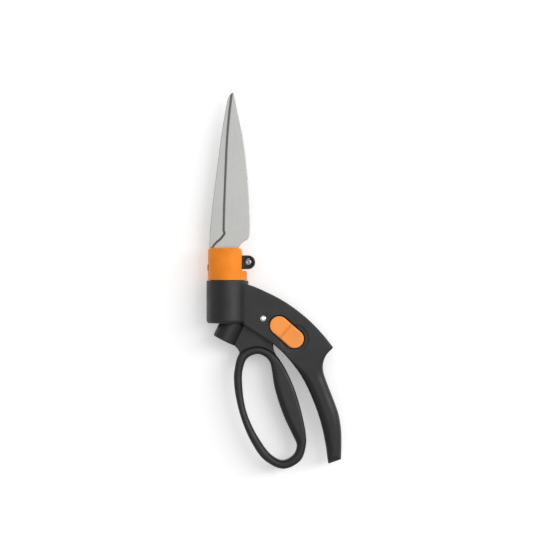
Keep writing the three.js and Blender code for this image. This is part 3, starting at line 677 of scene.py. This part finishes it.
def shell(name, side):
    """One half of the handle. side is 1 for the front half and -1 for the rear half."""
    depths = (-1.5, 20.4) if side > 0 else (-20.4, 1.5)
    space = Space((-20.4, -168.4, depths[0]), (104.4, 1.6, depths[1]), 0.6 * COARSE)
    x, y = space.x, space.y
    z = space.z * side
    radial = np.hypot(x, z)
    barrel = np.maximum(
        drum(radial, y, BARREL_RADIUS, -BARREL_LENGTH, 10, BARREL_ROUND),
        drum(radial, y, BARREL_RADIUS, -FAR, 0, BARREL_RIM),
    )
    flat = outline_distance(HANDLE_OUTLINE, x, y)
    half = np.interp(y, GRIP_HALF[:, 0], GRIP_HALF[:, 1])
    down_grip = fade(62, 92, -y + 0.3 * (x - 70))
    near_end = fade(148, 166, -y)
    rounder = RIM["grip"] - RIM["wing"] - (RIM["grip"] - RIM["end"]) * near_end
    edge = np.minimum(RIM["wing"] + down_grip * rounder, half - 0.4)
    outer = blend(barrel, slab(flat, z, half, edge), 0.35)
    bore = drum(radial, y, BORE_RADIUS, -FAR, 5)
    pocket = slab(outline_distance(POCKET_OUTLINE, x, y), z, POCKET_HALF, 0.8)
    grip = np.maximum(
        slab(flat + WALL, z, half - WALL, np.maximum(edge - WALL, 0.4)),
        np.maximum(y - GRIP_HOLLOW["high"], GRIP_HOLLOW["low"] - y),
    )
    rib = drum(radial, y, BORE_RADIUS + 0.5, RIB["low"], RIB["high"])
    field = join(cut(outer, bore, pocket, grip), np.maximum(rib, RIB["radius"] - radial))
    for place, face in SCREWS:
        field = join(field, drum(around(space, place), z, SCREW_BOSS, 0, face - 1))
    field = carve(field, drum(around(space, RIVET), z, RIVET_HOLE, -5, FAR), 0.3)
    field = lock_recesses(space, field) if side > 0 else screw_wells(space, z, field)
    seam = SEAM_INSIDE + (SEAM - SEAM_INSIDE) * fade(-0.8, -0.1, outer)
    return meshed(name, space, np.maximum(field, seam - z))


finish(shell("front_half", 1), "root", DARK_PLASTIC, "dark_plastic", "front_shell")
finish(shell("rear_half", -1), "root", DARK_PLASTIC, "dark_plastic", "rear_shell")

# ---------------------------------------------------------------- lever

LEVER_HUB_RADIUS = 8.6
LEVER_WEB_HALF = 4.6
LOOP_HALF = 6.6
LOOP_EDGE = 3.3
BUSH_RADIUS = 4.2
STUB = {"foot": (-2.95, -54.15), "radius": 11.0, "length": 20.0, "tilt": 26.2, "top": -33.5}
BALL = (0.0, -38.1)
SOCKET_RADIUS = 4.45
KEEPER_SEAT = ((-22, -36.1, -7.1), (5.5, -30, 7.1))
NOTCH = {"end": -14.2, "half_width": 2.8, "floor": 6.6}

LOOP_OPENING = smooth([
    (26.8, -66.1), (17.7, -70.2), (13.6, -81), (13.3, -95), (15.8, -113.4), (20.6, -127.8),
    (28.2, -142.2), (39.1, -156.6), (49.7, -161.7), (59.3, -156.6), (62.2, -148), (58.3, -138.6),
    (51.5, -124.2), (46.2, -109.8), (42.2, -95.4), (39.9, -81), (38.3, -73.8), (34.2, -68.8),
], closed=True)
LOOP_OUTSIDE = smooth([
    (26, -58.8), (11.3, -65), (6.2, -81), (6.1, -94.5), (9.4, -113.4), (14.3, -129.4),
    (21.6, -145.4), (32.8, -161), (50.4, -169.2), (65.8, -161.6), (70.6, -147.5), (70.3, -136.6),
    (67.3, -121.4), (63.4, -106.8), (58.3, -92.6), (51, -77.6), (44.4, -68), (37.4, -61.8),
], closed=True)
WEB_OUTLINE = np.vstack([
    [(1, -37)],
    arc(RIVET, LEVER_HUB_RADIUS, 140, -10),
    [(41.9, -44)],
    smooth([(41.2, -57.6), (41.8, -63), (43.6, -66.8)]),
    smooth([(41, -68), (35, -64.6), (26.5, -62.4), (18.5, -65.4), (12.8, -69.8)]),
    smooth([(10.2, -69), (10.9, -66.2), (10, -62.6), (6.9, -59)]),
    [(-2, -50)],
])


def lever_stub(x, y, z):
    """The leaning stub, which reaches into the barrel."""
    tilt = math.radians(STUB["tilt"])
    dx, dy = x - STUB["foot"][0], y - STUB["foot"][1]
    up = dx * math.sin(tilt) + dy * math.cos(tilt)
    off = np.hypot(dx * math.cos(tilt) - dy * math.sin(tilt), z)
    body = np.maximum(drum(off, up, STUB["radius"], 0, FAR, 1.2), up - STUB["length"])
    return np.maximum(body, y - STUB["top"])


def finger_loop(x, y, z):
    """The loop, whose right bar is wide and dips towards the opening."""
    wide = fade(38, 50, x) * fade(160, 140, -y)
    return np.maximum(
        slab(outline_distance(LOOP_OUTSIDE, x, y), z, LOOP_HALF, LOOP_EDGE - 0.9 * wide),
        slab(-outline_distance(LOOP_OPENING, x, y), z, LOOP_HALF, LOOP_EDGE + 2.9 * wide),
    )


def lever():
    space = Space((-15.6, -171.4, -13.2), (72.6, -23.2, 13.2), 0.6 * COARSE)
    x, y, z = space.x, space.y, space.z
    from_rivet = around(space, RIVET)
    hub = drum(from_rivet, z, LEVER_HUB_RADIUS, GAP - POCKET_HALF, POCKET_HALF - GAP, 0.5)
    web = slab(outline_distance(WEB_OUTLINE, x, y), z, LEVER_WEB_HALF, 0.8)
    field = join(blend(web, finger_loop(x, y, z), 0.8), hub, lever_stub(x, y, z))
    socket = np.sqrt((x - BALL[0]) ** 2 + (y - BALL[1]) ** 2 + z ** 2) - SOCKET_RADIUS
    chimney = drum(np.hypot(x, z), y, SOCKET_RADIUS, BALL[1], -30)
    keeper_seat = box(space, *KEEPER_SEAT)
    bush_hole = from_rivet - BUSH_RADIUS - GAP
    along, across = along_slide(space)
    notch = np.maximum(along - NOTCH["end"], np.abs(across) - NOTCH["half_width"])
    notch = np.maximum(notch, NOTCH["floor"] - z)
    return meshed("lever_moulding", space, cut(field, socket, chimney, keeper_seat, bush_hole, notch))


finish(lever(), "lever", DARK_PLASTIC, "dark_plastic", "lever")

# ---------------------------------------------------------------- lock button


def on_slide(points):
    """Points drawn about the button's middle, with X along the slide, in the row frame."""
    points = np.asarray(points, float)
    x = BUTTON_MIDDLE[0] + points[:, 0] * SLIDE[0] - points[:, 1] * SLIDE[1]
    y = BUTTON_MIDDLE[1] + points[:, 0] * SLIDE[1] + points[:, 1] * SLIDE[0]
    return metres(np.stack([x, y, points[:, 2]], axis=1))


def lock_button():
    space = Space((-18.6, -9.4, 6.2), (18.6, 9.4, BUTTON_TOP + 2.6), 0.25 * COARSE)
    x, y, z = space.x, space.y, space.z
    flat = np.hypot(np.maximum(np.abs(x) - BUTTON_REACH, 0), y) - BUTTON_RADIUS
    ridge = 1.9 * np.exp(-np.sqrt((x - 0.5) ** 2 + 0.1) / 3.4) * fade(8.4, 6.6, np.abs(y))
    valley = 0.7 * fade(0.0, -2.2, x) * fade(-9.5, -2.5, x)
    top = BUTTON_TOP - 0.3 + ridge - valley
    under = WING_HALF + 0.35
    middle = (top + under) / 2
    cap = slab(flat, z - middle, (top - under) / 2, 1.15)
    stem = box(space, (-2.7, -1.9, 7.3), (2.7, 1.9, under + 1), 0.2)
    return meshed("lock_thumb_button", space, join(cap, stem), on_slide)


finish(lock_button(), "lock", LIT_BUTTON_ORANGE, "orange_plastic", "lock_button")

# ---------------------------------------------------------------- head

COLLAR = {
    "radius": 17.6, "inner": 15.6, "bottom": 0.3, "top": 29.0, "flat": 13.0, "ledge": 8.5, "wall": 2.0,
    "corner": 3.0,
}
PIN_RADIUS = 3.05
EAR = {"radius": 6.2, "inner": 3.1, "outer": 8.0, "counterbore": 4.5, "depth": 1.6}
LATCH = {"bottom": 8.5, "top": 14.8, "half": 3.3}
JOURNAL = {"radius": 16.4, "foot": -22}
RIB_GROOVE = {"middle": -17.25, "half": 1.15, "radius": 14.4}
SEAL_GROOVE = {"middle": -6.1, "half": 1.3, "radius": 14.6}
CORE = {"radius": 15.3, "top": 26.6}
SPRING_BORE = {"radius": 9.2, "top": 2.4}
ROD_HOLE = 3.4


def collar():
    space = Space((-19, -0.8, -19), (19, 30.4, 19), 0.36 * COARSE)
    x, y, z = space.x, space.y, space.z
    radial = np.hypot(x, z)
    body = np.maximum(
        drum(radial, y, COLLAR["radius"], COLLAR["bottom"], FAR, 0.5),
        drum(radial, y, COLLAR["radius"], -20, COLLAR["top"], 1.9),
    )
    side = box(space, (COLLAR["flat"], COLLAR["ledge"], -FAR), (FAR, FAR, FAR))
    body = carve(body, side, 1.1)
    past_side = np.maximum(x - COLLAR["flat"] + COLLAR["corner"], 0)
    past_top = np.maximum(y - COLLAR["top"] + COLLAR["corner"], 0)
    corner = np.hypot(past_side, past_top) - COLLAR["corner"]
    body = np.maximum(body, np.minimum(corner, y - COLLAR["ledge"] - 4))
    inner_side = COLLAR["flat"] - COLLAR["wall"]
    inside = box(space, (inner_side, COLLAR["ledge"] - COLLAR["wall"], -FAR), (FAR, FAR, FAR))
    hollow = drum(radial, y, COLLAR["inner"], -5, COLLAR["top"] - COLLAR["wall"])
    body = cut(body, np.maximum(hollow, -inside))
    blade_slot = box(space, (-15.3, 22, -3.1), (30, FAR, 3.1))
    window_half = EAR["radius"] + GAP
    ear_window = box(space, (10, PIN[1] - window_half, -8.4), (30, PIN[1] + window_half, 8.4), 0.5)
    latch_half = LATCH["half"] + GAP
    latch_window = box(
        space, (-40, LATCH["bottom"] - GAP, -latch_half), (-12, LATCH["top"] + GAP, latch_half), 0.4
    )
    for opening in (blade_slot, ear_window, latch_window):
        body = carve(body, opening, 0.4)
    return meshed("collar_moulding", space, body)


def journal(radial, y):
    """The round foot that turns in the barrel, with a groove for the rib and one for the seal ring."""
    body = drum(radial, y, JOURNAL["radius"], JOURNAL["foot"], 0, 0.5)
    for groove in (RIB_GROOVE, SEAL_GROOVE):
        band = np.abs(y - groove["middle"]) - groove["half"]
        body = cut(body, np.maximum(band, groove["radius"] - radial))
    return body


def pin_ears(space):
    """The two ears beside the collar, which hold the blade pin."""
    x, y = space.x, space.y
    neck = np.maximum(np.maximum(9 - x, x - PIN[0]), np.abs(y - PIN[1]) - EAR["radius"])
    flat = join(around(space, PIN) - EAR["radius"], neck)
    middle = (EAR["inner"] + EAR["outer"]) / 2
    return slab(flat, np.abs(space.z) - middle, (EAR["outer"] - EAR["inner"]) / 2, 0.7)


def core():
    space = Space((-19.2, -23.2, -17.6), (25.8, 27.8, 17.6), 0.4 * COARSE)
    x, y, z = space.x, space.y, space.z
    radial = np.hypot(x, z)
    body = join(journal(radial, y), drum(radial, y, CORE["radius"], -2, CORE["top"], 0.4))
    shoulder = box(space, (10.7, 6.2, -FAR), (FAR, FAR, FAR))
    spring_bore = drum(radial, y, SPRING_BORE["radius"], -20, SPRING_BORE["top"])
    rod_hole = np.maximum(radial - ROD_HOLE, y)
    yoke_channel = box(space, (-6.4, 1.4, -6.6), (6.4, 25.6, 6.6))
    body = cut(body, shoulder, spring_bore, rod_hole, yoke_channel)
    latch = box(space, (-17.9, LATCH["bottom"], -LATCH["half"]), (-14, LATCH["top"], LATCH["half"]), 0.6)
    body = join(body, pin_ears(space), latch)
    from_pin = around(space, PIN)
    counterbores = EAR["outer"] - EAR["depth"] - np.abs(z)
    body = carve(body, np.maximum(from_pin - EAR["counterbore"], counterbores), 0.5)
    cheek_slot = box(space, (-12.6, 1.4, -2.9), (FAR, FAR, 2.9))
    top_slot = box(space, (-FAR, 20.2, -2.9), (FAR, FAR, 2.9))
    body = cut(body, from_pin - PIN_RADIUS - GAP, cheek_slot, top_slot)
    return meshed("core_moulding", space, body)


finish(collar(), "head", ORANGE_PLASTIC, "orange_plastic", "head_collar")
finish(core(), "head", BLACK_PLASTIC, "black_plastic", "head_core")

# ---------------------------------------------------------------- blades

BLADE_NEAR = 0.15
BLADE_FAR = 2.6
BLADE_EAR_RADIUS = 5.4
BEVEL_WIDTH = 2.0
BEVEL_LAND = 0.45
DRIVE_PIN = (0.2, 12.2)
DRIVE_PIN_HOLE = 2.2
DRIVE_SLOT_RADIUS = 2.5
BLADE_RIVETS = [(-9.6, 22.5), (-8.6, 9)]
BLADE_RIVET_RADIUS = 1.7

FIXED_LEFT = [
    (3.7, 168.8), (1, 165.4), (-2.2, 150.8), (-5, 133.9), (-7, 119.3), (-14.9, 54.7), (-15.8, 42.1),
    (-16.4, 31.5),
]
FIXED_FOOT = [
    (-16.4, 29.5), (-14.7, 29.5), (-13.8, 24), (-12.2, 20.6), (-12.2, 7), (-8, 2.6), (5, 2.6), (9.6, 10.6),
]
FIXED_RIGHT = [(9.2, 36), (9.3, 60), (9.6, 85), (9.2, 112), (7.2, 140), (5.2, 160), (4.6, 168)]
FIXED_OUTLINE = np.vstack([
    smooth(FIXED_LEFT),
    FIXED_FOOT,
    arc(PIN, BLADE_EAR_RADIUS, -115, 95),
    [(13, 22.5), (9.6, 26.5)],
    smooth(FIXED_RIGHT),
])
FIXED_EDGE = smooth([(9.6, 26.5), *FIXED_RIGHT])
MOVING_HEEL = [(-14.9, 28.8), (-13.6, 31.6), (-10.8, 34.8), (-7.1, 38), (-3.7, 42.4)]
MOVING_LEFT = [(-4.5, 45), (-4.1, 63.3), (-2.4, 106.7), (-1.5, 125.6), (0.6, 150.8), (2.6, 167.2)]
MOVING_RIGHT = [(5.9, 168.2), (9.2, 150.8), (14.4, 125.6), (17.9, 95.6), (19.4, 72.6), (20, 54.1), (19.9, 42)]
MOVING_OUTLINE = np.vstack([
    smooth(MOVING_RIGHT),
    smooth([(19, 38.2), (17.4, 36.6), (14.9, 35.3), (12.2, 32.9), (10.4, 30.2)]),
    [(10, 26.5), (13, 22.5)],
    arc(PIN, BLADE_EAR_RADIUS, 95, -115),
    arc(DRIVE_PIN, 4.2, -80, -190),
    [(-8, 19), (-13.6, 24.4)],
    smooth(MOVING_HEEL),
    smooth(MOVING_LEFT),
    [(4.6, 168.9)],
])
MOVING_EDGE = np.vstack([smooth(MOVING_HEEL), smooth(MOVING_LEFT)])


def line_distance(points, x, y):
    """Distance to an open line."""
    flat_x, flat_y = np.broadcast_arrays(x, y)
    nearest = np.full(flat_x.shape, 1e9)
    for (ax, ay), (bx, by) in zip(points[:-1], points[1:]):
        dx, dy = bx - ax, by - ay
        length = max(dx * dx + dy * dy, 1e-12)
        share = np.clip(((flat_x - ax) * dx + (flat_y - ay) * dy) / length, 0, 1)
        away = (flat_x - ax - share * dx) ** 2 + (flat_y - ay - share * dy) ** 2
        np.minimum(nearest, away, out=nearest)
    return np.sqrt(nearest)


def blade(name, outline, ground, side, holes):
    """A plate with a bevel ground along its cutting edge. side is 1 for the front blade, -1 for the rear."""
    depths = (-0.9, 3.5) if side > 0 else (-3.5, 0.9)
    space = Space((-18, 1.2, depths[0]), (25.4, 170.2, depths[1]), 0.35 * COARSE)
    x, y = space.x, space.y
    z = space.z * side
    flat = outline_distance(outline, x, y)
    for hole in holes:
        flat = np.maximum(flat, -hole(x, y))
    field = slab(flat, z - (BLADE_NEAR + BLADE_FAR) / 2, (BLADE_FAR - BLADE_NEAR) / 2, 0.22)
    low = BLADE_NEAR + BEVEL_LAND
    rise = (BLADE_FAR - low) / BEVEL_WIDTH
    bevel = (z - low - rise * line_distance(ground, x, y)) / math.hypot(1, rise)

    # The share of painted shade on the ground bevel: its sloping face, away from the land.
    def painted_bevel_shade(px, py, pz):
        away = line_distance(ground, px, py)
        return fade(BEVEL_WIDTH + 0.05, BEVEL_WIDTH - 0.3, away) * fade(BLADE_NEAR + 0.1, low, pz * side)

    return meshed(name, space, np.maximum(field, bevel), ground=painted_bevel_shade)


def round_hole(centre, radius):
    return lambda x, y: np.hypot(x - centre[0], y - centre[1]) - radius


def slot_hole(centre, length, radius):
    """A slot that runs up along Y from its centre."""

    def distance(x, y):
        up = y - centre[1]
        return np.hypot(x - centre[0], up - np.clip(up, 0, length)) - radius

    return distance


PIN_HOLE = round_hole(PIN, PIN_RADIUS + GAP)
DRIVE_SLOT = slot_hole((DRIVE_PIN[0] - 0.24, DRIVE_PIN[1]), ROD_TRAVEL, DRIVE_SLOT_RADIUS)
RIVET_HOLES = [round_hole(place, BLADE_RIVET_RADIUS + GAP) for place in BLADE_RIVETS]
MOVING_HOLES = [PIN_HOLE, round_hole(DRIVE_PIN, DRIVE_PIN_HOLE)]
FIXED_HOLES = [PIN_HOLE, DRIVE_SLOT, *RIVET_HOLES]

front_blade = blade("front_blade_plate", MOVING_OUTLINE, MOVING_EDGE, 1, MOVING_HOLES)
rear_blade = blade("rear_blade_plate", FIXED_OUTLINE, FIXED_EDGE, -1, FIXED_HOLES)
finish(front_blade, "blade", BLADE_STEEL, "blade_steel", "moving_blade")
finish(rear_blade, "head", BLADE_STEEL, "blade_steel", "fixed_blade")

# ---------------------------------------------------------------- pins, rivets and screws

RIVET_UNDER = WING_HALF + 0.3
RIVET_SHANK = 2.2
RIVET_DOME = [(2.9, 0.0), (2.9, 0.45), (2.75, 0.75), (2.4, 1.05), (1.8, 1.3), (1.0, 1.45), (0.0, 1.5)]
WASHER = {"inner": 2.5, "outer": 4.6, "low": -WING_HALF - 0.9, "high": -WING_HALF - 0.3}
CLIP = {"inner": 2.85, "outer": 4.1, "mouth": 1.2, "middle": -6.7, "half": 0.3}
CROSS = {"length": 1.6, "width": 0.36, "depth": 0.9}


def placed(centre):
    """Places points that are drawn about an axis along Z through centre."""
    return lambda points: metres(points + np.array([*centre, 0]))


def rivet():
    """A pin with a domed head at each end. The rear one sits on the washer, which is 1 mm further out."""
    rear = -RIVET_UNDER - 1
    profile = [(r, rear - h) for r, h in reversed(RIVET_DOME)]
    profile += [(RIVET_SHANK, rear), (RIVET_SHANK, RIVET_UNDER)]
    profile += [(r, RIVET_UNDER + h) for r, h in RIVET_DOME]
    return lathed("rivet_with_domed_heads", profile, RIVET)


def washer():
    inner, outer, low, high = WASHER["inner"], WASHER["outer"], WASHER["low"], WASHER["high"]
    profile = [
        (inner, high), (inner, low + 0.1), (inner + 0.1, low), (outer - 0.15, low), (outer, low + 0.15),
        (outer, high), (inner, high),
    ]
    return lathed("rivet_washer_disc", profile, RIVET)


def pin():
    """The blade pin, with a groove for its clip at the rear and a centre mark in front."""
    profile = [
        (0, -7.4), (2.75, -7.4), (3.05, -7.1), (2.55, -7.1), (2.55, -6.3), (3.05, -6.3), (3.05, 6.55),
        (2.9, 6.8), (2.6, 6.97), (1.3, 7.0), (1.15, 6.9), (0, 6.9),
    ]
    return lathed("blade_pin_shank", profile, PIN)


def clip():
    """The open ring in the blade pin's groove."""
    space = Space((-5, -5, -7.6), (5, 5, -5.8), 0.14 * COARSE)
    x, y, z = space.x, space.y, space.z
    off = np.hypot(x, y)
    ring = np.maximum(off - CLIP["outer"], CLIP["inner"] - off)
    ring = cut(ring, np.maximum(np.abs(x) - CLIP["mouth"], -y))
    return meshed("pin_clip_ring", space, slab(ring, z - CLIP["middle"], CLIP["half"], 0.1), placed(PIN))


def screw(number, centre, face):
    """A screw with a cross recess. face is how far out the rear face is at its place."""
    space = Space((-3.4, -3.4, -face + 0.2), (3.4, 3.4, -face + 3.6), 0.14 * COARSE)
    x, y, z = np.abs(space.x), np.abs(space.y), space.z
    off = np.hypot(x, y)
    outside = 0.8 - face
    head = drum(off, z, 2.7, outside, outside + 1.5, 0.35)
    shank = drum(off, z, 1.05, outside + 1, outside + 2.4, 0.1)
    across = np.maximum(x - CROSS["length"], y - CROSS["width"])
    upright = np.maximum(y - CROSS["length"], x - CROSS["width"])
    cross = np.minimum(across, upright) + 0.12 * (z - outside)
    cross = np.maximum(cross, z - outside - CROSS["depth"])
    body = carve(join(head, shank), cross, 0.15)
    return meshed(f"cross_screw_{number}", space, body, placed(centre))


finish(rivet(), "root", BRIGHT_STEEL, "bright_steel", "pivot_rivet")
finish(washer(), "root", BRIGHT_STEEL, "bright_steel", "rivet_washer")
finish(pin(), "head", PIN_STEEL, "bright_steel", "blade_pin")
finish(clip(), "head", SPRING_STEEL, "spring_steel", "pin_clip")
for number, (centre, face) in enumerate(SCREWS, 1):
    finish(screw(number, centre, face), "root", BRIGHT_STEEL, "bright_steel", f"shell_screw_{number}")

# ---------------------------------------------------------------- floor, light and camera


FLOOR_REACH = 6.0
FLOOR_HEIGHT = -0.6 * MM
LIGHT_TARGET = Vector((0, 0, 0.02))


def floor():
    """A pale sheet just under the object, which also glows a little to keep the shadows light."""
    ways = ((-1, -1), (1, -1), (1, 1), (-1, 1))
    corners = [(x * FLOOR_REACH, y * FLOOR_REACH, FLOOR_HEIGHT) for x, y in ways]
    mesh = bpy.data.meshes.new("floor")
    mesh.from_pydata(corners, [], [(0, 1, 2, 3)])
    sheet = linked("floor", mesh)
    nodes = Nodes("floor_paper")
    tint = nodes.mix(nodes.spread(nodes.noise(3, 2), 0.3, 0.7), (0.86, 0.86, 0.86), (0.88, 0.88, 0.88))
    nodes.link(tint, nodes.shader.inputs["Base Color"])
    nodes.link(tint, nodes.shader.inputs["Emission Color"])
    nodes.shader.inputs["Emission Strength"].default_value = 0.3
    nodes.shader.inputs["Roughness"].default_value = 0.9
    nodes.shader.inputs["Specular IOR Level"].default_value = 0.1
    mesh.materials.append(nodes.material)


def area_light(name, place, size, power):
    """A soft box that faces the middle of the object, with its place in metres and its power in watts."""
    light = bpy.data.lights.new(name, "AREA")
    light.shape = "RECTANGLE"
    light.size, light.size_y = size
    light.energy = power
    lamp = bpy.data.objects.new(name, light)
    lamp.location = place
    lamp.rotation_euler = (LIGHT_TARGET - Vector(place)).to_track_quat("-Z", "Y").to_euler()
    bpy.context.scene.collection.objects.link(lamp)


floor()
area_light("key_right", (1.15, 0.35, 1.25), (0.55, 1.6), 17)
area_light("fill_left", (-1.7, 0.1, 0.9), (0.2, 1.6), 1.6)
area_light("top", (0.15, 0.3, 2.6), (2.0, 2.0), 15)

world = bpy.data.worlds.new("studio")
bpy.context.scene.world = world
world.use_nodes = True
sky = world.node_tree.nodes["Background"]
sky.inputs["Color"].default_value = (1, 1, 1, 1)
sky.inputs["Strength"].default_value = 0.42
bpy.context.scene.view_settings.view_transform = "Standard"

VIEW_MIDDLE = (42.75, 4.95, 0.0)
VIEW_WIDTH = 495.0
camera = bpy.data.cameras.new("camera")
camera.lens = 120
camera.sensor_width = 36
distance = VIEW_WIDTH * MM * camera.lens / camera.sensor_width
eye = bpy.data.objects.new("camera", camera)
eye.location = Vector(metres([VIEW_MIDDLE])[0]) + Vector((0, 0, distance))
bpy.context.scene.collection.objects.link(eye)
bpy.context.scene.camera = eye
